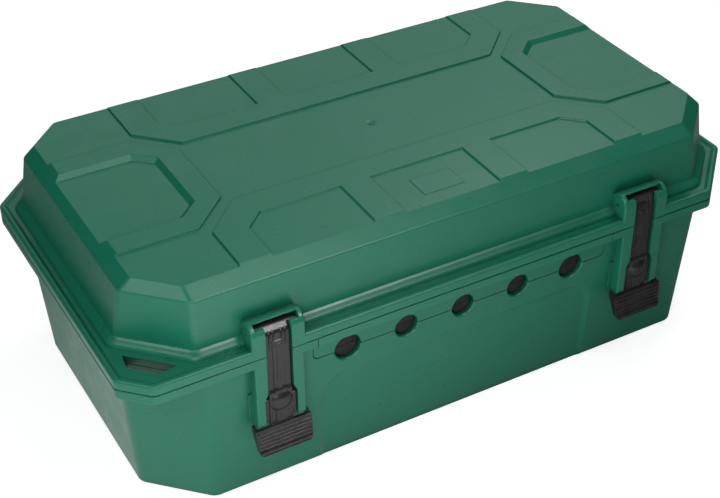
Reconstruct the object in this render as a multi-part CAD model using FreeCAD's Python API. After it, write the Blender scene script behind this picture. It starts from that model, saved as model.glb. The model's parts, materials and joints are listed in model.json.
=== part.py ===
import FreeCAD, Part
import math
import os

V = FreeCAD.Vector

# Frame: millimetres, X to the right, Y to the back, Z up.
# The origin is the centre of the base's underside. The front is -Y.

# Base shell
BASE_HX = 184.0
BASE_HY = 98.0
BASE_LEGS = (31.0, 27.5, 31.0, 27.5)
BASE_CORNER = 8.0
PARTING_Z = 95.0
WALL_FLARE = 6.4
WALL = 3.0
FLOOR = 4.0
FOOT_R = 2.0
PANEL_DEPTH = 1.3

# Flange shared by both shells
FLANGE_HX = 200.0
FLANGE_HY = 110.0
FLANGE_LEGS = (15.0, 35.5, 34.0, 28.0)
FLANGE_CORNER = 6.0
BAND_H = 5.5
BAND_T = 2.2
SEAM = 0.6

# Lid shell
LID_Z0 = PARTING_Z + SEAM
RIM_Z = 101.5
CHANNEL_Z = 99.9
LID_FOOT = (189.3, 98.2, (32.1, 28.0, 30.0, 23.0))
LID_SHOULDER = (184.0, 96.5, (27.5, 27.0, 27.5, 23.8))
LID_TOP = (176.5, 88.5, (18.0, 23.5, 23.0, 17.3))
LID_TOP_SHIFT = V(1.0, 1.5, 0)
LID_CORNERS = (6.5, 5.0, 3.5)
LID_EDGE_R = 1.2
LID_FOOT_Z = 99.0
SHOULDER_Z = 133.5
TOP_Z = 140.5
LOW_Z = 139.3
POCKET_Z = 139.4
END_POCKET_Z = 137.8

# Cable ports
PORT_RADII = (7.8, 6.9, 6.9, 6.9, 7.8)
PORT_PITCH = 36.2
PORT_ROW_X = -0.6
PORT_Z = 76.2
PORT_EDGE = 0.85
PLUG_GAP = 0.3
PLUG_FRONT_Y = -100.0
BAR_HX = 94.3
BAR_CORNER = 3.5
SPLIT = 0.25
PAD_Y = -99.0
SEAL_LIP = 2.4
SEAL_FLANGE_T = 2.5
RETAINER_T = 2.5
CLAMP_X = (-54.3, -18.1, 18.1, 54.3)
TAB_X = (-76.0, -25.0, 25.0, 76.0)
TAB_Y = -89.0

# Latches
LATCH_X = 116.4
PIVOT_Y = -103.0
PIVOT_Z = 108.4
BAR_R = 3.0
BAR_HALF = 12.1
PIN_R = 1.0
PIN_RECESS = 1.2
PIN_GAP = 0.05
STRAP_HALF = 6.6
CHANNEL_HALF = 7.4
CHANNEL_Y = -104.6
NOTCH_HALF = 9.4
CHEEK_HALF = 8.9
RAIL_HALF = 14.2
RAIL_Y = -109.8
RAIL_Z0 = 49.6
EAR_IN = 12.4
EAR_OUT = 15.3
EAR_R = 7.0
PADDLE_HALF = 16.2
RIB_COUNT = 6
RIB_PITCH = 2.35
CATCH_Z = 61.5
CATCH_Y = -105.2
CATCH_R = 1.9

# Rear hinges
HINGE_Y = 115.3
HINGE_Z = 95.3
HINGE_X = 112.0
HINGE_HALF = 26.0
KNUCKLE_R = 4.4
KNUCKLE_HALF = 10.0
HINGE_PIN_R = 2.0

# Padlock eye in the front left corner of the flange
EYE_IN = 188.0
EYE_OUT = 196.8
EYE_LONG = 14.7
EYE_SHORT = 8.2
EYE_SHIFT = -64.0


def corner_points(hx, hy, legs):
    """Plan corners; legs run front left, front right, back right, back left."""
    fl, fr, br, bl = legs
    pts = [(-hx + fl, -hy), (hx - fr, -hy), (hx, -hy + fr), (hx, hy - br)]
    return pts + [(hx - br, hy), (-hx + bl, hy), (-hx, hy - bl), (-hx, -hy + fl)]


def octagon(hx, hy, legs, z, r=1.0):
    """Closed eight-sided plan outline at height z with corners rounded to radius r."""
    pts = [V(x, y, z) for x, y in corner_points(hx, hy, legs)]
    reach = r * math.tan(math.radians(22.5))
    arcs = []
    for i in range(8):
        u = (pts[i - 1] - pts[i]).normalize()
        w = (pts[(i + 1) % 8] - pts[i]).normalize()
        inward = (u + w).normalize()
        mid = pts[i] + inward * (r / math.sin(math.radians(67.5)) - r)
        arcs.append(Part.Arc(pts[i] + u * reach, mid, pts[i] + w * reach).toShape())
    edges = []
    for i in range(8):
        start = arcs[i].Vertexes[-1].Point
        end = arcs[(i + 1) % 8].Vertexes[0].Point
        edges += [arcs[i], Part.makeLine(start, end)]
    return Part.Wire(edges)


def loft(*wires):
    return Part.makeLoft(list(wires), True, True)


def slab(hx, hy, legs, z0, z1, r=1.0):
    return loft(octagon(hx, hy, legs, z0, r), octagon(hx, hy, legs, z1, r))


def edges_at(shape, z):
    """Edges that lie in the horizontal plane at height z."""
    return [e for e in shape.Edges if abs(e.BoundBox.ZMin - z) + abs(e.BoundBox.ZMax - z) < 0.01]


def grow(legs, d):
    """Corner legs of an octagon after moving every side out by d."""
    return tuple(leg + d * (2 - math.sqrt(2)) for leg in legs)


def flange_legs(d):
    return grow(FLANGE_LEGS, d)


def box(x0, x1, y0, y1, z0, z1):
    return Part.makeBox(x1 - x0, y1 - y0, z1 - z0, V(x0, y0, z0))


def cyl_x(x0, x1, y, z, r):
    return Part.makeCylinder(r, x1 - x0, V(x0, y, z), V(1, 0, 0))


def cyl_y(x, y0, y1, z, r):
    return Part.makeCylinder(r, y1 - y0, V(x, y0, z), V(0, 1, 0))


def cyl_z(x, y, z0, z1, r):
    return Part.makeCylinder(r, z1 - z0, V(x, y, z0), V(0, 0, 1))


def prism_z(pts, z0, z1):
    wire = Part.makePolygon([V(x, y, z0) for x, y in pts + pts[:1]])
    return Part.Face(wire).extrude(V(0, 0, z1 - z0))


def prism_x(pts, x0, x1):
    """Profile in Y and Z swept along X."""
    wire = Part.makePolygon([V(x0, y, z) for y, z in pts + pts[:1]])
    return Part.Face(wire).extrude(V(x1 - x0, 0, 0))


def prism_y(pts, y0, y1):
    """Profile in X and Z swept along Y."""
    wire = Part.makePolygon([V(x, y0, z) for x, z in pts + pts[:1]])
    return Part.Face(wire).extrude(V(0, y1 - y0, 0))


def arc(cx, cy, r, a0, a1, n):
    steps = [math.radians(a0 + (a1 - a0) * i / n) for i in range(n + 1)]
    return [(cx + r * math.cos(a), cy + r * math.sin(a)) for a in steps]


def fuse(shapes):
    return shapes[0].multiFuse(shapes[1:]).removeSplitter()


def cut(shape, tools):
    return shape.cut(Part.makeCompound(tools)) if len(tools) == 1 else shape.cut(fuse(tools))


def ports():
    """Centre x and bore radius of each cable port, left to right."""
    mid = (len(PORT_RADII) - 1) / 2
    return [(PORT_ROW_X + (i - mid) * PORT_PITCH, r) for i, r in enumerate(PORT_RADII)]


def wall_y(z):
    return -(BASE_HY + WALL_FLARE * z / PARTING_Z)


def base_wall(inset, z0, z1):
    """Tapered body of the base, moved in by inset."""
    def at(z):
        d = WALL_FLARE * z / PARTING_Z - inset
        return octagon(BASE_HX + d, BASE_HY + d, grow(BASE_LEGS, d), z, BASE_CORNER - inset)
    return loft(at(z0), at(z1))


def base_outside():
    """Solid of the base's outer form: tapered body, rim plate and the rim's downward lip."""
    body = base_wall(0, 0, PARTING_Z)
    body = body.makeFillet(FOOT_R, edges_at(body, 0))
    low = PARTING_Z - BAND_H
    rim = slab(FLANGE_HX, FLANGE_HY, FLANGE_LEGS, low, PARTING_Z, FLANGE_CORNER)
    rim = rim.makeFillet(0.9, edges_at(rim, low))
    rim = rim.makeFillet(0.6, edges_at(rim, PARTING_Z))
    legs = flange_legs(-BAND_T)
    r = FLANGE_CORNER - BAND_T
    hollow = slab(FLANGE_HX - BAND_T, FLANGE_HY - BAND_T, legs, low - 1, PARTING_Z - 3, r)
    return body.fuse(rim.cut(hollow.cut(body)))


def eye_cutter(z0, z1):
    """Trapezoid through the flange, long side towards the wall."""
    k = math.sqrt(0.5)
    corners = [(EYE_IN, -EYE_LONG), (EYE_IN, EYE_LONG), (EYE_OUT, EYE_SHORT), (EYE_OUT, -EYE_SHORT)]
    pts = [((EYE_SHIFT + u - v) * k, (-EYE_SHIFT - u - v) * k) for v, u in corners]
    return prism_z(pts, z0, z1)


def bar_outline(hx, z0, z1):
    """Outline of the split in the front wall: square top, rounded lower corners."""
    r = BAR_CORNER
    pts = [(-hx, z1)] + arc(-hx + r, z0 + r, r, 180, 270, 6)
    pts += arc(hx - r, z0 + r, r, 270, 360, 6) + [(hx, z1)]
    return pts


def panel_outline(hx, z0, z1, r):
    pts = [(-hx, z0), (hx, z0)] + arc(hx - r, z1 - r, r, 0, 90, 6)
    return pts + arc(-hx + r, z1 - r, r, 90, 180, 6)


def front_panel_cut():
    """Shallow recess below the ports with sloping sides, open at the foot."""
    def ring(grow_by, depth):
        pts = panel_outline(89.6 + grow_by - 3.4, -3, 60.6 + grow_by - 3.4, 12 + grow_by)
        pts.append(pts[0])
        return Part.makePolygon([V(x, wall_y(z) + depth, z) for x, z in pts])
    return loft(ring(5.95, -1.0), ring(3.4, 0.0), ring(0.0, PANEL_DEPTH))


def knuckle(x0, x1, z0, z1):
    """Hinge barrel with the arm that ties it to a flange."""
    arm = box(x0, x1, FLANGE_HY - 0.5, HINGE_Y, z0, z1)
    barrel = cyl_x(x0, x1, HINGE_Y, HINGE_Z, KNUCKLE_R)
    return barrel.fuse(arm)


def rails():
    """Latch guides on the base, with the catch bar between them."""
    out = []
    for cx in (-LATCH_X, LATCH_X):
        block = box(cx - RAIL_HALF, cx + RAIL_HALF, RAIL_Y, -96, RAIL_Z0, PARTING_Z)
        edges = [e for e in block.Edges if abs(e.BoundBox.YMax - RAIL_Y) < 0.01]
        block = block.makeFillet(0.9, edges)
        slot = box(cx - CHANNEL_HALF, cx + CHANNEL_HALF, -115, CHANNEL_Y, 30, 100)
        low = box(cx - CHANNEL_HALF, cx + CHANNEL_HALF, CHANNEL_Y, -90, 30, PARTING_Z - BAND_H)
        notch = [(cx - CHANNEL_HALF, 70.5), (cx - NOTCH_HALF, 66.5), (cx - NOTCH_HALF, 30)]
        notch += [(cx + NOTCH_HALF, 30), (cx + NOTCH_HALF, 66.5), (cx + CHANNEL_HALF, 70.5)]
        block = cut(block, [slot, low, prism_y(notch, -115, -90)])
        out.append(block)
        pad = box(cx - 16.2, cx + 16.2, -103.4, -98, RAIL_Z0, 68.5)
        out.append(pad.cut(box(cx - NOTCH_HALF, cx + NOTCH_HALF, -110, -90, 40, 70)))
        out.append(cyl_x(cx - NOTCH_HALF - 1, cx + NOTCH_HALF + 1, CATCH_Y, CATCH_Z, CATCH_R))
        out.append(box(cx - 1.2, cx + 1.2, CATCH_Y, -97, CATCH_Z - 1.2, CATCH_Z + 1.2))
    return out


def port_cutter(x, r):
    """Port bore along Y with a small bevel square to the sloping wall."""
    slope = math.degrees(math.atan(WALL_FLARE / PARTING_Z))
    bevel = Part.makeCone(r - 1, r + PORT_EDGE + 1, PORT_EDGE + 2, V(0, 0, -1 - PORT_EDGE))
    bevel.rotate(V(0, 0, 0), V(1, 0, 0), 90 + slope)
    bevel.translate(V(x, wall_y(PORT_Z), PORT_Z))
    return cyl_y(x, -120, -90, PORT_Z, r).fuse(bevel)


def front_backing():
    """Thicker wall behind the recessed panel and the seat of the seals."""
    band = box(-93, 93, -110, -80, FLOOR - 1, 60)
    low = base_wall(1, 2, 80).cut(base_wall(WALL + 2, 1, 81)).common(band)
    seat = base_wall(1, 40, PARTING_Z - 1).common(box(-93, 93, -110, PAD_Y, 59.9, PORT_Z))
    return [low, seat]


def lower_shell():
    shell = fuse([base_outside()] + rails())
    shell = shell.cut(base_wall(WALL, FLOOR, PARTING_Z + 20))
    shell = fuse([shell] + front_backing())
    shell = shell.fuse([cyl_y(x, PAD_Y - 0.5, PAD_Y + SEAL_FLANGE_T, 64.5, 3.0) for x in CLAMP_X])
    shell = shell.fuse([knuckle(sx * HINGE_X + a, sx * HINGE_X + b, PARTING_Z - BAND_H, PARTING_Z)
                        for sx in (-1, 1)
                        for a, b in ((-HINGE_HALF, -KNUCKLE_HALF - 0.4), (KNUCKLE_HALF + 0.4, HINGE_HALF))])
    tools = [front_panel_cut()]
    tools.append(prism_y(bar_outline(BAR_HX, PORT_Z - SPLIT, 120), -120, -90))
    tools += [port_cutter(x, r) for x, r in ports()]
    tools += [cyl_y(x, -101.6, -90, 64.5, 1.2) for x in CLAMP_X]
    for cx in (-LATCH_X, LATCH_X):
        tools.append(box(cx - CHANNEL_HALF, cx + CHANNEL_HALF, -115, CHANNEL_Y, 80, 100))
    tools.append(eye_cutter(80, 110))
    tools.append(cyl_x(-150, 150, HINGE_Y, HINGE_Z, HINGE_PIN_R))
    for tool in tools:
        shell = shell.cut(tool)
    return shell.removeSplitter()


def cable_port_bar():
    """Upper half of the port wall, screwed up into the lid through four tabs."""
    bar = base_outside().common(box(-120, 120, -120, PAD_Y, 60, PARTING_Z))
    land = box(-BAR_HX + 2, BAR_HX - 2, -FLANGE_HY + 1.5, -104.2, PARTING_Z - 1, LID_Z0)
    bar = bar.common(prism_y(bar_outline(BAR_HX - 0.3, PORT_Z + SPLIT, PARTING_Z), -120, -90))
    tabs = [box(x - 6.5, x + 6.5, PAD_Y - 1, -84.5, PARTING_Z - 3, PARTING_Z) for x in TAB_X]
    tabs += [box(x - 6.5, x + 6.5, -94.5, -84.5, PARTING_Z - 1, LID_Z0) for x in TAB_X]
    bosses = [cyl_y(x, PAD_Y - 0.5, PAD_Y + SEAL_FLANGE_T, 84.9, 3.0) for x in CLAMP_X]
    bar = fuse([bar, land] + tabs + bosses)
    for x, r in ports():
        bar = bar.cut(port_cutter(x, r))
    for x in CLAMP_X:
        bar = bar.cut(cyl_y(x, -101.6, -90, 84.9, 1.2))
    for x in TAB_X:
        bar = bar.cut(cyl_z(x, TAB_Y, 80, 100, 1.6))
    return bar.removeSplitter()


def seal_half(x, r, upper):
    """Half plug set back in the bore, with a flange behind the wall."""
    plug = cyl_y(x, PLUG_FRONT_Y, PAD_Y, PORT_Z, r - PLUG_GAP)
    rim = [e for e in plug.Edges if e.BoundBox.YMax < PLUG_FRONT_Y + 0.01]
    plug = plug.makeFillet(0.7, rim[:1])
    flange = cyl_y(x, PAD_Y, PAD_Y + SEAL_FLANGE_T, PORT_Z, r + SEAL_LIP)
    whole = plug.fuse(flange)
    if upper:
        return whole.common(box(x - 20, x + 20, -120, -80, PORT_Z + 0.1, 100))
    return whole.common(box(x - 20, x + 20, -120, -80, 50, PORT_Z - 0.1))


def seal_retainer(upper):
    """Strip behind the row of half seals, notched where the cables pass."""
    y0 = PAD_Y + SEAL_FLANGE_T
    z0, z1 = (PORT_Z + 0.3, 88.5) if upper else (60.9, PORT_Z - 0.3)
    strip = box(-88, 88, y0, y0 + RETAINER_T, z0, z1)
    screw_z = 84.9 if upper else 64.5
    for x, _ in ports():
        strip = strip.cut(cyl_y(x, y0 - 1, y0 + 5, PORT_Z, 6.5))
    for x in CLAMP_X:
        strip = strip.cut(cyl_y(x, y0 - 1, y0 + 5, screw_z, 1.5))
    return strip


def screw(length, shank_r, head_r, head_h):
    """Pan-head screw along +Z, head below zero, with a cross slot."""
    head = Part.makeCylinder(head_r, head_h, V(0, 0, -head_h))
    rim = [e for e in head.Edges if e.BoundBox.ZMax < -head_h + 0.01]
    head = head.makeFillet(head_h * 0.5, rim[:1])
    for a in (0, 90):
        slot = box(-head_r * 0.6, head_r * 0.6, -0.3, 0.3, -head_h - 1, -head_h * 0.45)
        slot.rotate(V(0, 0, 0), V(0, 0, 1), a)
        head = head.cut(slot)
    tip = Part.makeCone(shank_r, shank_r * 0.4, 1.0, V(0, 0, length - 1))
    return head.fuse(Part.makeCylinder(shank_r, length - 1)).fuse(tip)


def placed(shape, pos, axis, angle):
    item = shape.copy()
    item.rotate(V(0, 0, 0), axis, angle)
    item.translate(pos)
    return item


def retainer_screws(z):
    base = screw(7.4, 1.2, 2.7, 1.8)
    y = PAD_Y + SEAL_FLANGE_T + RETAINER_T
    return Part.makeCompound([placed(base, V(x, y, z), V(1, 0, 0), 90) for x in CLAMP_X])


def port_bar_screws():
    base = screw(12.0, 1.25, 2.9, 2.0)
    z = PARTING_Z - 3
    return Part.makeCompound([placed(base, V(x, TAB_Y, z), V(1, 0, 0), 0) for x in TAB_X])


def latch_housing(cx):
    """Arched housing on the lid that holds one latch's pivot between two ears."""
    def p(y, z):
        return V(cx - EAR_OUT, y, z)
    a = math.radians(41)
    start = p(PIVOT_Y + EAR_R * math.cos(a), PIVOT_Z + EAR_R * math.sin(a))
    end = p(PIVOT_Y - EAR_R, PIVOT_Z)
    crown = Part.Arc(start, p(PIVOT_Y, PIVOT_Z + EAR_R), end).toShape()
    low_front, low_back = p(PIVOT_Y - EAR_R, LID_Z0), p(-95.8, LID_Z0)
    top_back = p(-95.8, start.z)
    corners = [end, low_front, low_back, top_back, start]
    lines = [Part.makeLine(u, w) for u, w in zip(corners, corners[1:])]
    block = Part.Face(Part.Wire([crown] + lines)).extrude(V(2 * EAR_OUT, 0, 0))
    sides = [e for e in block.Edges if e.BoundBox.XLength < 0.01]
    rims = [e for e in sides if e.BoundBox.YMax < -97 and e.BoundBox.ZMax > LID_Z0 + 1]
    return block.makeFillet(1.2, rims)


def latch_room(cx):
    """Space the pivot bar and strap turn in."""
    snug = cyl_x(cx - EAR_IN, cx + EAR_IN, PIVOT_Y, PIVOT_Z, BAR_R + 0.4)
    over = cyl_x(cx - EAR_IN, cx + EAR_IN, PIVOT_Y, PIVOT_Z, 5.8)
    over = over.common(box(cx - 20, cx + 20, -106.5, -90, PIVOT_Z, 120))
    mouth = box(cx - EAR_IN, cx + EAR_IN, -112, -104.6, 112.3, 120)
    root = cyl_x(cx - CHANNEL_HALF, cx + CHANNEL_HALF, PIVOT_Y, PIVOT_Z, 6.2)
    slot = box(cx - CHANNEL_HALF, cx + CHANNEL_HALF, -115, CHANNEL_Y, 90, 118)
    pin = cyl_x(cx - 20, cx + 20, PIVOT_Y, PIVOT_Z, PIN_R)
    return [snug, over, mouth, root, slot, pin]


def lid_plan(z):
    """Half sizes and corner legs of the lid's wall at height z."""
    t = (z - LID_FOOT_Z) / (SHOULDER_Z - LID_FOOT_Z)
    low, high = LID_FOOT[:2] + LID_FOOT[2], LID_SHOULDER[:2] + LID_SHOULDER[2]
    hx, hy, *legs = [a + (b - a) * t for a, b in zip(low, high)]
    return hx, hy, legs


def bead():
    """Rounded foot between the lid's wall and the flange channel."""
    rows = [(3.6, 99.0), (3.7, 100.7), (3.4, 101.6), (2.9, 102.4), (2.0, 103.1), (1.0, 103.8), (-0.1, 104.9)]
    rings = []
    for d, z in rows:
        hx, hy, legs = lid_plan(z)
        rings.append(octagon(hx + d, hy + d, grow(legs, d), z, LID_CORNERS[0] + d))
    return loft(*rings)


def lid_flange():
    body = slab(FLANGE_HX, FLANGE_HY, FLANGE_LEGS, LID_Z0, RIM_Z, FLANGE_CORNER)
    body = body.makeFillet(1.5, edges_at(body, RIM_Z))
    body = body.makeFillet(0.5, edges_at(body, LID_Z0))
    def ring(d, z):
        return octagon(FLANGE_HX - d, FLANGE_HY - d, flange_legs(-d), z, FLANGE_CORNER - d)
    rows = [(4.6, CHANNEL_Z), (3.4, RIM_Z - 0.7), (2.7, RIM_Z), (2.0, RIM_Z + 1)]
    return body.cut(loft(*[ring(d, z) for d, z in rows]))


def raised_panels():
    """Raised areas of the lid's top: two long ones and two end ones."""
    long_side = [(-126, -99), (126, -99), (126, -55), (103.5, -32.5), (-103.5, -32.5), (-126, -55)]
    end = [(-190, -49.5), (-130, -49.5), (-107.5, -28), (-107.5, 28), (-130, 49.5), (-190, 49.5)]
    out = []
    for pts, flip in ((long_side, (1, -1)), (end, (-1, 1))):
        for sx, sy in ((1, 1), flip):
            out.append(sloped([(x * sx, y * sy) for x, y in pts], LOW_Z - 1, TOP_Z + 1, -0.8))
    return out


def sloped(pts, z0, z1, spread):
    """Prism whose upper outline is moved out by spread along each side's normal."""
    n = len(pts)
    area = sum(pts[i - 1][0] * pts[i][1] - pts[i][0] * pts[i - 1][1] for i in range(n))
    turn = 1 if area > 0 else -1
    moved = []
    for i in range(n):
        a, b, c = pts[i - 1], pts[i], pts[(i + 1) % n]
        u = (b[0] - a[0], b[1] - a[1])
        w = (c[0] - b[0], c[1] - b[1])
        lu, lw = math.hypot(*u), math.hypot(*w)
        nu = (turn * u[1] / lu, -turn * u[0] / lu)
        nw = (turn * w[1] / lw, -turn * w[0] / lw)
        k = spread / (1 + nu[0] * nw[0] + nu[1] * nw[1])
        moved.append((b[0] + k * (nu[0] + nw[0]), b[1] + k * (nu[1] + nw[1])))
    low = Part.makePolygon([V(x, y, z0) for x, y in pts + pts[:1]])
    high = Part.makePolygon([V(x, y, z1) for x, y in moved + moved[:1]])
    return loft(low, high)


def top_pockets():
    """Shallow pockets in the long panels and deeper ones in the end panels."""
    side = [(48.2, -99), (106.7, -99), (106.7, -61.3), (95.7, -50.7), (48.2, -50.7)]
    middle = [(-29.3, -99), (29.3, -99), (29.3, -50.7), (-29.3, -50.7)]
    end = [(-190, -32.8), (-134.5, -32.8), (-124.5, -23.6), (-124.5, 23.6), (-134.5, 32.8), (-190, 32.8)]
    tools = []
    for sy in (1, -1):
        tools.append(sloped([(x, y * sy) for x, y in middle], POCKET_Z, TOP_Z + 1, 1.2))
        for sx in (1, -1):
            tools.append(sloped([(x * sx, y * sy) for x, y in side], POCKET_Z, TOP_Z + 1, 1.2))
    for sx in (1, -1):
        tools.append(sloped([(x * sx, y) for x, y in end], END_POCKET_Z, TOP_Z + 1, 4.0))
    return tools


def lid_relief(lid):
    sheet = box(-200, 200, -120, 120, LOW_Z, TOP_Z + 1)
    lid = lid.cut(sheet.cut(fuse(raised_panels())))
    for tool in top_pockets():
        lid = lid.cut(tool)
    plate = box(-12.5, 12.5, -79.5, -63, POCKET_Z - 0.5, POCKET_Z + 0.3)
    dish = Part.makeSphere(10.0, V(0, 0, LOW_Z + 9.45))
    nub = Part.makeCone(1.6, 0.9, 1.0, V(0, 0, LOW_Z - 0.7))
    return lid.fuse(plate).cut(dish).fuse(nub)


def upper_shell():
    rows = zip((LID_FOOT, LID_SHOULDER, LID_TOP), (LID_FOOT_Z, SHOULDER_Z, TOP_Z), LID_CORNERS)
    foot, shoulder, top = [octagon(*plan, z, r) for plan, z, r in rows]
    top.translate(LID_TOP_SHIFT)
    wall = loft(foot, shoulder, top)
    wall = wall.makeFillet(LID_EDGE_R, edges_at(wall, SHOULDER_Z) + edges_at(wall, TOP_Z))
    housings = [latch_housing(cx) for cx in (-LATCH_X, LATCH_X)]
    lid = fuse([wall, lid_flange(), bead()] + housings)
    inside = loft(octagon(184.0, 95.1, (28.0, 23.5, 28.0, 22.0), LID_Z0 - 1, 4),
                  octagon(181.0, 93.5, (25.8, 25.8, 25.8, 22.0), 133.0, 3),
                  octagon(174.0, 86.5, (21.0, 21.0, 21.0, 18.0), 135.4, 2))
    lid = lid.cut(inside)
    bosses = [cyl_z(x, TAB_Y, LID_Z0, 107, 3.8) for x in TAB_X]
    bosses += [box(x - 1.0, x + 1.0, -97, TAB_Y, LID_Z0, 107) for x in TAB_X]
    lid = fuse([lid] + bosses)
    lid = lid.fuse([knuckle(sx * HINGE_X - KNUCKLE_HALF, sx * HINGE_X + KNUCKLE_HALF, LID_Z0, RIM_Z)
                    for sx in (-1, 1)])
    tools = []
    for cx in (-LATCH_X, LATCH_X):
        tools += latch_room(cx)
    tools += [cyl_z(x, TAB_Y, 90, 104.5, 1.25) for x in TAB_X]
    tools.append(cyl_x(-150, 150, HINGE_Y, HINGE_Z, HINGE_PIN_R + PIN_GAP))
    tools.append(eye_cutter(90, 110))
    tools.append(gasket_ring(0.0, LID_Z0 - 1, LID_Z0 + 1.9))
    tools.append(box(-92.6, 92.6, -112, -FLANGE_HY + 0.4, 90, RIM_Z - 1.2))
    for tool in tools:
        lid = lid.cut(tool)
    return lid_relief(lid).removeSplitter()


def gasket_ring(gap, z0, z1):
    outer = slab(189.8 - gap, 103.4 - gap, grow((34.7, 30.2, 34.7, 30.2), -gap), z0, z1)
    inner = slab(187.0 + gap, 100.6 + gap, grow((33.1, 28.6, 33.1, 28.6), gap), z0 - 1, z1 + 1)
    return outer.cut(inner)


def strap_profile():
    """Side view of the strap from its root on the pivot bar to the paddle."""
    pts = arc(PIVOT_Y, PIVOT_Z, BAR_R, 90, 140, 3)
    pts += [(-107.0, 108.6), (-107.8, 106.6), (-108.0, 104.0), (-108.0, 71.0), (-109.0, 69.0)]
    pts += [(-109.0, 46.5), (-107.4, 46.5), (-107.4, 57.0), (-107.8, 58.5), (-107.8, 65.0)]
    pts += [(-105.0, 66.4), (-105.0, 103.6), (-104.2, 105.6), (PIVOT_Y, PIVOT_Z - 2.9)]
    return pts


def paddle_face():
    return [(-110.9, 48.2), (-111.8, 45.4), (-112.2, 42.0), (-112.3, 38.6), (-112.9, 35.6), (-114.5, 33.0)]


def latch(cx):
    """One moulded latch: pivot bar, strap, domed hook and thumb paddle."""
    bar = cyl_x(cx - BAR_HALF, cx + BAR_HALF, PIVOT_Y, PIVOT_Z, BAR_R)
    strap = prism_x(strap_profile(), cx - STRAP_HALF, cx + STRAP_HALF)
    band = [(-107.5, 49.0), (-107.5, 103.2), (-108.5, 102.2), (-108.5, 72.0), (-109.5, 70.0), (-109.5, 49.0)]
    spine = [(-107.2, 62.0), (-107.2, 101.6), (-108.85, 100.4), (-108.85, 62.0)]
    cheek = [(-107.6, 50.0), (-107.6, 65.2), (-108.3, 64.4), (-108.3, 50.0)]
    bands = [prism_x(band, cx - 3.2, cx + 3.2), prism_x(spine, cx - 1.1, cx + 1.1)]
    bands.append(prism_x(cheek, cx - CHEEK_HALF, cx + CHEEK_HALF))
    comb = [(-106.8, 109.0), (-107.9, 107.7), (-108.7, 105.4), (-108.7, 99.0), (-107.2, 96.5)]
    combs = [prism_x(comb, cx + dx - 0.35, cx + dx + 0.35) for dx in (-4.6, -2.3, 2.3, 4.6)]
    dome = Part.makeSphere(9.0, V(cx, -102.7, 62.4))
    dome = dome.common(box(cx - 7.1, cx + 7.1, -115, -108.3, 50, 75))
    face = paddle_face()
    back = [(-112.9, 32.6), (-111.0, 35.8), (-110.1, 38.8), (-110.1, 46.4), (-108.8, 47.4), (-108.8, 48.2)]
    plate = prism_x(face + back, cx - PADDLE_HALF, cx + PADDLE_HALF)
    side = [(-111.4, 47.9), (-105.5, 49.2), (-105.5, 46.2), (-111.4, 35.6)]
    wings = [prism_x(side, cx - PADDLE_HALF, cx - 14.6), prism_x(side, cx + 14.6, cx + PADDLE_HALF)]
    heights = [46.0 - i * RIB_PITCH for i in range(RIB_COUNT)]
    ribs = [cyl_x(cx - 15.2, cx + 15.2, face_y(z) - 0.1, z, 0.65) for z in heights]
    outline = arc(cx - PADDLE_HALF + 4, 36.6, 4, 180, 270, 5)
    outline += arc(cx + PADDLE_HALF - 4, 36.6, 4, 270, 360, 5)
    outline += arc(cx + PADDLE_HALF - 1, 49, 1, 0, 90, 3) + arc(cx - PADDLE_HALF + 1, 49, 1, 90, 180, 3)
    paddle = fuse([plate] + wings + ribs).common(prism_y(outline, -120, -100))
    body = fuse([bar, strap, dome, paddle] + bands + combs)
    return body.cut(cyl_x(cx - 20, cx + 20, PIVOT_Y, PIVOT_Z, PIN_R + PIN_GAP))


def face_y(z):
    """Front of the paddle at height z."""
    pts = paddle_face()
    for (y1, z1), (y0, z0) in zip(pts, pts[1:]):
        if z0 <= z <= z1:
            return y0 + (y1 - y0) * (z - z0) / (z1 - z0)
    return pts[0][0]


def latch_pin(cx):
    reach = EAR_OUT - PIN_RECESS
    return cyl_x(cx - reach, cx + reach, PIVOT_Y, PIVOT_Z, PIN_R)


def hinge_pin(cx):
    return cyl_x(cx - HINGE_HALF, cx + HINGE_HALF, HINGE_Y, HINGE_Z, HINGE_PIN_R)


def build():
    nodes = {
        "lower_shell": lower_shell(),
        "upper_shell": upper_shell(),
        "cable_port_bar": cable_port_bar(),
        "port_bar_screws": port_bar_screws(),
        "rim_gasket": gasket_ring(0.1, PARTING_Z + 0.1, LID_Z0 + 1.9),
        "lower_seal_retainer": seal_retainer(False),
        "upper_seal_retainer": seal_retainer(True),
        "lower_retainer_screws": retainer_screws(64.5),
        "upper_retainer_screws": retainer_screws(84.9),
        "latch_left": latch(-LATCH_X),
        "latch_right": latch(LATCH_X),
        "latch_pin_left": latch_pin(-LATCH_X),
        "latch_pin_right": latch_pin(LATCH_X),
        "hinge_pin_left": hinge_pin(-HINGE_X),
        "hinge_pin_right": hinge_pin(HINGE_X),
    }
    for i, (x, r) in enumerate(ports(), 1):
        nodes["lower_seal_%d" % i] = seal_half(x, r, False)
        nodes["upper_seal_%d" % i] = seal_half(x, r, True)
    return nodes


os.makedirs("parts", exist_ok=True)
for name, shape in build().items():
    shape.exportStep("parts/%s.step" % name)
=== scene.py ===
import bpy
import json
import math
from mathutils import Matrix, Vector

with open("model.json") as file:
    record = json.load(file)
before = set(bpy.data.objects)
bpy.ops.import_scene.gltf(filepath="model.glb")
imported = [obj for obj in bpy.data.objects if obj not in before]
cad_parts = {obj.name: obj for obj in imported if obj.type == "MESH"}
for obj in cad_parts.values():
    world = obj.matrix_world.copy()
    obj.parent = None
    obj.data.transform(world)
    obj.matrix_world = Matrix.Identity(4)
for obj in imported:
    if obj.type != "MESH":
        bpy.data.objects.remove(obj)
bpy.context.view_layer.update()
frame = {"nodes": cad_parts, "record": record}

scene = bpy.context.scene


# ---------------------------------------------------------------- material graph
# Cosine between the surface's normal and the rounded one, where an edge starts and where it is full
EDGE_STARTS = 0.995
EDGE_FULL = 0.90
EDGE_SAMPLES = 4
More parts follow.
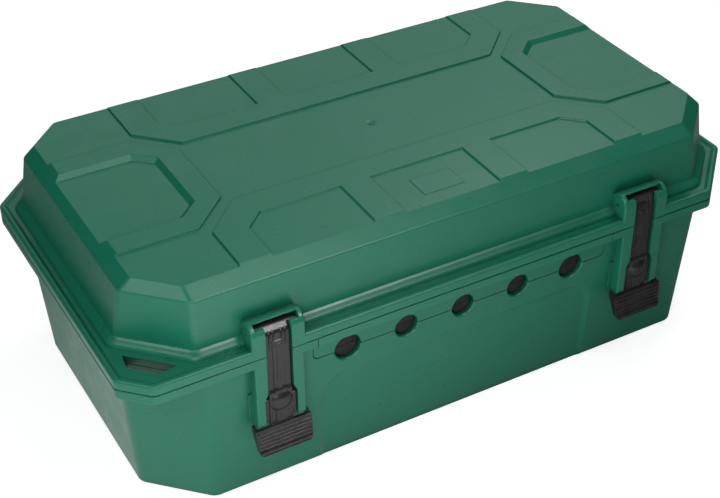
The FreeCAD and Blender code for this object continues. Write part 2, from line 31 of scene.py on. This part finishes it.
# Openness, from ambient occlusion, that counts as fully closed and as fully open, for the painted
# shade in gaps
GAP_CLOSED = 0.25
GAP_OPEN = 0.85
GAP_SAMPLES = 6
# Ranges of a noise value: nearly all of it, soft clouds, patches with clearer borders, and streaks
WHOLE = (0.30, 0.70)
CLOUDS = (0.35, 0.70)
PATCHES = (0.42, 0.62)
STREAKS = (0.50, 0.80)


def rgb(r, g, b):
    return (r, g, b, 1.0)


class Graph:
    """One material, with helpers that add and link its nodes. Lengths are in metres."""

    def __init__(self, name):
        self.mat = bpy.data.materials.new(name)
        self.mat.use_nodes = True
        self.tree = self.mat.node_tree
        self.tree.nodes.clear()
        self.out = self.add("ShaderNodeOutputMaterial")
        self.bsdf = self.add("ShaderNodeBsdfPrincipled")
        self.link(self.bsdf.outputs[0], self.out.inputs["Surface"])
        self.coord = self.add("ShaderNodeTexCoord").outputs["Object"]

    def add(self, kind, **props):
        node = self.tree.nodes.new(kind)
        for key, value in props.items():
            setattr(node, key, value)
        return node

    def link(self, source, target):
        self.tree.links.new(source, target)

    def put(self, socket, value):
        """Links the socket to the value if that is a node's output, or else sets it."""
        if hasattr(value, "is_linked"):
            self.link(value, socket)
        else:
            socket.default_value = value

    def surface(self, name, value):
        """Sets or links one input of the surface, such as its base colour."""
        self.put(self.bsdf.inputs[name], value)

    def noise(self, scale, detail=3.0, rough=0.5, stretch=(1, 1, 1), distort=0.0):
        mapping = self.add("ShaderNodeMapping")
        mapping.inputs["Scale"].default_value = stretch
        self.link(self.coord, mapping.inputs["Vector"])
        node = self.add("ShaderNodeTexNoise")
        self.link(mapping.outputs[0], node.inputs["Vector"])
        node.inputs["Scale"].default_value = scale
        node.inputs["Detail"].default_value = detail
        node.inputs["Roughness"].default_value = rough
        node.inputs["Distortion"].default_value = distort
        return node.outputs["Fac"]

    def remap(self, value, low, high, at_low=0.0, at_high=1.0):
        """Goes smoothly from at_low to at_high as the value goes from low to high."""
        node = self.add("ShaderNodeMapRange", interpolation_type="SMOOTHSTEP")
        for i, entry in enumerate((value, low, high, at_low, at_high)):
            self.put(node.inputs[i], entry)
        return node.outputs[0]

    def math(self, op, a, b=0.0):
        node = self.add("ShaderNodeMath", operation=op)
        self.put(node.inputs[0], a)
        self.put(node.inputs[1], b)
        return node.outputs[0]

    def measure(self, op, a, b):
        """The number that two vectors give, such as their dot product or their distance."""
        node = self.add("ShaderNodeVectorMath", operation=op)
        self.put(node.inputs[0], a)
        self.put(node.inputs[1], b)
        return node.outputs["Value"]

    def normal(self, kind):
        return self.add("ShaderNodeNewGeometry").outputs[kind]

    def mix(self, share, a, b, mode="MIX"):
        """Mixes two colours. The node's inputs 6 and 7 and its output 2 are the ones for colours."""
        node = self.add("ShaderNodeMix", data_type="RGBA", blend_type=mode)
        self.put(node.inputs[0], share)
        self.put(node.inputs[6], a)
        self.put(node.inputs[7], b)
        return node.outputs[2]

    def rounded(self, radius):
        """Normal of the surface with its edges rounded off by radius."""
        node = self.add("ShaderNodeBevel", samples=EDGE_SAMPLES)
        node.inputs["Radius"].default_value = radius
        return node.outputs[0]

    def roughness(self, low, high, **noise):
        """Varies the surface's roughness between the two values."""
        self.surface("Roughness", self.remap(self.noise(**noise), *WHOLE, low, high))

    def relief(self, height, strength, distance, radius):
        """Rounds the edges off by radius and lays the height on the surface as fine bumps."""
        node = self.add("ShaderNodeBump")
        node.inputs["Strength"].default_value = strength
        node.inputs["Distance"].default_value = distance
        self.link(height, node.inputs["Height"])
        self.link(self.rounded(radius), node.inputs["Normal"])
        self.surface("Normal", node.outputs["Normal"])

    def wear(self, colour, worn, strength, radius, scale):
        """Turns the colour towards the worn colour, in patches along the edges."""
        facing = self.measure("DOT_PRODUCT", self.rounded(radius), self.normal("Normal"))
        edges = self.remap(facing, EDGE_STARTS, EDGE_FULL)
        rub = self.math("MULTIPLY", edges, self.remap(self.noise(scale, detail=4.0), *PATCHES))
        return self.mix(self.math("MULTIPLY", rub, strength), colour, worn)

    def shade(self, colour, reach, darkest):
        """Paints shade into the colour in gaps and corners, down to darkest times the colour."""
        node = self.add("ShaderNodeAmbientOcclusion", samples=GAP_SAMPLES)
        node.inputs["Distance"].default_value = reach
        keep = self.remap(node.outputs["AO"], GAP_CLOSED, GAP_OPEN, darkest, 1.0)
        grey = self.add("ShaderNodeCombineColor")
        for channel in grey.inputs:
            self.link(keep, channel)
        return self.mix(1.0, colour, grey.outputs[0], "MULTIPLY")


# ---------------------------------------------------------------- padlock eye, painted shade on its walls
# The record's mount gives its middle; its sides run along and across the corner's diagonal.
EYE = Vector(next(m["pos_m"] for m in frame["record"]["mounts"] if m["name"] == "padlock_eye"))
DIAGONAL = Vector((-1, -1, 0)).normalized()
ACROSS = Vector((1, -1, 0)).normalized()
UPWARD = Vector((0, 0, 1))
# Half the eye's size with a little to spare
EYE_DEEP = 0.0047
EYE_WIDE = 0.0152
# A surface is a wall where its normal points up or down by less than this
WALL_LIMIT = 0.5
# How far the painted shade takes the walls towards the unlit colour
EYE_SHADE = 0.85


def eye_shade_mask(g):
    """Painted shade: EYE_SHADE on the walls of the padlock eye, where little light reaches, and 0
    elsewhere.
    """
    deep = g.math("SUBTRACT", g.measure("DOT_PRODUCT", g.coord, DIAGONAL), EYE.dot(DIAGONAL))
    wide = g.math("SUBTRACT", g.measure("DOT_PRODUCT", g.coord, ACROSS), EYE.dot(ACROSS))
    upward = g.measure("DOT_PRODUCT", g.normal("True Normal"), UPWARD)
    mask = EYE_SHADE
    for value, limit in ((deep, EYE_DEEP), (wide, EYE_WIDE), (upward, WALL_LIMIT)):
        inside = g.math("LESS_THAN", g.math("ABSOLUTE", value), limit)
        mask = g.math("MULTIPLY", inside, mask)
    return mask


# ---------------------------------------------------------------- materials
def green_plastic():
    base = rgb(0.0135, 0.246, 0.146)
    deep = rgb(0.0125, 0.238, 0.141)
    pale = rgb(0.0150, 0.250, 0.149)
    worn = rgb(0.07, 0.26, 0.19)
    # Unlit green for the painted shade inside the padlock eye
    unlit = rgb(0.002, 0.035, 0.020)
    g = Graph("moulded_green")
    colour = g.mix(g.remap(g.noise(scale=7.0, rough=0.6), *CLOUDS), base, deep)
    flow = g.noise(scale=26.0, detail=4.0, rough=0.55, distort=0.6)
    colour = g.mix(g.remap(flow, *STREAKS, at_high=0.5), colour, pale)
    colour = g.wear(colour, worn, strength=0.35, radius=0.0009, scale=90.0)
    # Painted shade in the gaps, seams and corners of the green plastic
    colour = g.shade(colour, reach=0.007, darkest=0.5)
    # Painted shade: the padlock eye's walls go towards the unlit colour
    g.surface("Base Color", g.mix(eye_shade_mask(g), colour, unlit))
    g.roughness(0.27, 0.35, scale=60.0, detail=5.0, rough=0.6)
    g.relief(g.noise(scale=45.0, detail=2.0), strength=0.10, distance=0.0008, radius=0.0006)
    return g.mat


def black_plastic():
    dark = rgb(0.022, 0.020, 0.020)
    pale = rgb(0.033, 0.030, 0.030)
    worn = rgb(0.12, 0.12, 0.12)
    g = Graph("moulded_black")
    colour = g.mix(g.remap(g.noise(scale=40.0, detail=4.0, rough=0.6), *CLOUDS), dark, pale)
    g.surface("Base Color", g.wear(colour, worn, strength=0.4, radius=0.0006, scale=160.0))
    g.roughness(0.24, 0.34, scale=90.0, detail=5.0, rough=0.65)
    g.relief(g.noise(scale=1500.0, rough=0.6), strength=0.12, distance=0.0002, radius=0.0004)
    return g.mat


def black_rubber():
    dark = rgb(0.006, 0.006, 0.006)
    pale = rgb(0.011, 0.011, 0.010)
    g = Graph("soft_rubber")
    g.surface("Base Color", g.mix(g.remap(g.noise(scale=120.0, detail=4.0), *CLOUDS), dark, pale))
    g.roughness(0.55, 0.75, scale=300.0, detail=4.0)
    g.relief(g.noise(scale=2400.0, rough=0.6), strength=0.2, distance=0.0002, radius=0.0003)
    return g.mat


def zinc_steel():
    dark = rgb(0.50, 0.51, 0.52)
    pale = rgb(0.62, 0.63, 0.64)
    g = Graph("plated_steel")
    grain = g.noise(scale=900.0, rough=0.6, stretch=(0.03, 1.0, 1.0))
    g.surface("Base Color", g.mix(g.remap(grain, *WHOLE), dark, pale))
    g.surface("Metallic", 1.0)
    g.roughness(0.24, 0.42, scale=200.0, detail=4.0)
    g.relief(grain, strength=0.08, distance=0.0002, radius=0.0002)
    return g.mat


def paint_nodes():
    """Gives each CAD node the finish that its material slot in the record names."""
    finishes = {
        "green_plastic": green_plastic(),
        "black_plastic": black_plastic(),
        "black_rubber": black_rubber(),
        "steel": zinc_steel(),
    }
    slots = {part["node"]: part["material_slot"] for part in frame["record"]["subparts"]}
    for name, obj in frame["nodes"].items():
        obj.data.materials.clear()
        obj.data.materials.append(finishes[slots[name]])


# ---------------------------------------------------------------- floor
FLOOR_HALF = 6.0
# The paper lights the case with PAPER_BOUNCE; the camera sees PAPER_SEEN with PAPER_LIFT added
PAPER_BOUNCE = 0.45
PAPER_SEEN = 0.8
PAPER_LIFT = 0.75
# Soft glows that stand for lit paper around the case, and fade with distance from their centre:
# name, centre, reach, strength
GLOWS = [
    ("left", (-0.27, 0.0, 0), 0.20, 0.64),
    ("front", (-0.15, -0.42, 0), 0.45, 1.35),
    ("corner", (-0.38, -0.22, 0), 0.17, 0.5),
]


def paper_glow(g):
    total = 0.0
    for _, centre, reach, strength in GLOWS:
        away = g.measure("DISTANCE", g.coord, centre)
        total = g.math("ADD", g.remap(away, 0.0, reach, strength, 0.0), total)
    return total


def floor_paper():
    """Paper that looks brighter to the camera than it lights the case."""
    g = Graph("floor_paper")
    g.surface("Base Color", rgb(PAPER_BOUNCE, PAPER_BOUNCE, PAPER_BOUNCE))
    g.surface("Roughness", 0.9)
    g.surface("Specular IOR Level", 0.0)
    g.surface("Emission Color", rgb(1, 1, 1))
    g.surface("Emission Strength", paper_glow(g))
    paper = g.add("ShaderNodeBsdfDiffuse")
    paper.inputs["Color"].default_value = rgb(PAPER_SEEN, PAPER_SEEN, PAPER_SEEN)
    lift = g.add("ShaderNodeEmission")
    lift.inputs["Strength"].default_value = PAPER_LIFT
    seen = g.add("ShaderNodeAddShader")
    g.link(paper.outputs[0], seen.inputs[0])
    g.link(lift.outputs[0], seen.inputs[1])
    choice = g.add("ShaderNodeMixShader")
    g.link(g.add("ShaderNodeLightPath").outputs["Is Camera Ray"], choice.inputs[0])
    g.link(g.bsdf.outputs[0], choice.inputs[1])
    g.link(seen.outputs[0], choice.inputs[2])
    g.link(choice.outputs[0], g.out.inputs["Surface"])
    return g.mat


def lay_floor():
    mesh = bpy.data.meshes.new("floor")
    s = FLOOR_HALF
    mesh.from_pydata([(-s, -s, 0), (s, -s, 0), (s, s, 0), (-s, s, 0)], [], [(0, 1, 2, 3)])
    mesh.materials.append(floor_paper())
    obj = bpy.data.objects.new("floor", mesh)
    scene.collection.objects.link(obj)


# ---------------------------------------------------------------- light
# name, place, aim, width and height, watts
LIGHTS = [
    ("key", (-0.74, -0.23, 0.75), (-0.05, 0, 0.10), (0.35, 0.35), 1.3),
    ("near_front", (-0.28, -0.50, 0.42), (-0.05, 0, 0.08), (0.3, 0.3), 0.66),
    ("low_front", (-0.40, -0.50, 0.30), (-0.10, 0, 0.08), (0.25, 0.25), 0.42),
    ("fill", (0.15, -0.50, 1.05), (-0.05, 0, 0.10), (0.35, 0.35), 1.0),
    ("overhead", (0.45, 0.25, 0.90), (0.05, 0, 0.10), (0.6, 0.6), 2.4),
    ("back", (0.50, 1.00, 0.82), (0, 0, 0.12), (1.2, 0.6), 1.5),
]
# Shows only in reflections, as the sheen along the lid's front bevel and rim
BEVEL_GLINT = ("bevel_glint", (0.26, -0.74, 0.84), (-0.08, -0.09, 0.13), (0.25, 0.25), 3.0)
SKY = 0.02


def area(name, place, aim, size, power):
    data = bpy.data.lights.new(name, "AREA")
    data.shape = "RECTANGLE"
    data.size, data.size_y = size
    data.energy = power
    lamp = bpy.data.objects.new(name, data)
    scene.collection.objects.link(lamp)
    lamp.location = place
    lamp.rotation_mode = "QUATERNION"
    lamp.rotation_quaternion = (Vector(aim) - Vector(place)).to_track_quat("-Z", "Y")
    return lamp


def light_studio():
    for light in LIGHTS:
        area(*light)
    area(*BEVEL_GLINT).visible_diffuse = False
    world = bpy.data.worlds.new("studio")
    world.use_nodes = True
    sky = world.node_tree.nodes["Background"]
    sky.inputs["Color"].default_value = rgb(1, 1, 1)
    sky.inputs["Strength"].default_value = SKY
    scene.world = world
    scene.view_settings.view_transform = "Standard"


# ---------------------------------------------------------------- camera
AZIMUTH = math.radians(-29.11)
ELEVATION = math.radians(35.79)
ROLL = math.radians(-0.45)
CAMERA_PLACE = (-0.36145, -0.63463, 0.57636)
CLIP_START = 0.01
# Millimetres
SENSOR_WIDTH = 36.0
FOCAL_LENGTH = 73.855


def place_camera():
    data = bpy.data.cameras.new("camera")
    data.sensor_width = SENSOR_WIDTH
    data.lens = FOCAL_LENGTH
    data.clip_start = CLIP_START
    camera = bpy.data.objects.new("camera", data)
    scene.collection.objects.link(camera)
    camera.location = CAMERA_PLACE
    level = math.cos(ELEVATION)
    back = Vector((math.sin(AZIMUTH) * level, -math.cos(AZIMUTH) * level, math.sin(ELEVATION)))
    upright = (-back).to_track_quat("-Z", "Y").to_matrix().to_4x4()
    camera.rotation_mode = "QUATERNION"
    camera.rotation_quaternion = (Matrix.Rotation(ROLL, 4, back) @ upright).to_quaternion()
    scene.camera = camera


paint_nodes()
lay_floor()
light_studio()
place_camera()
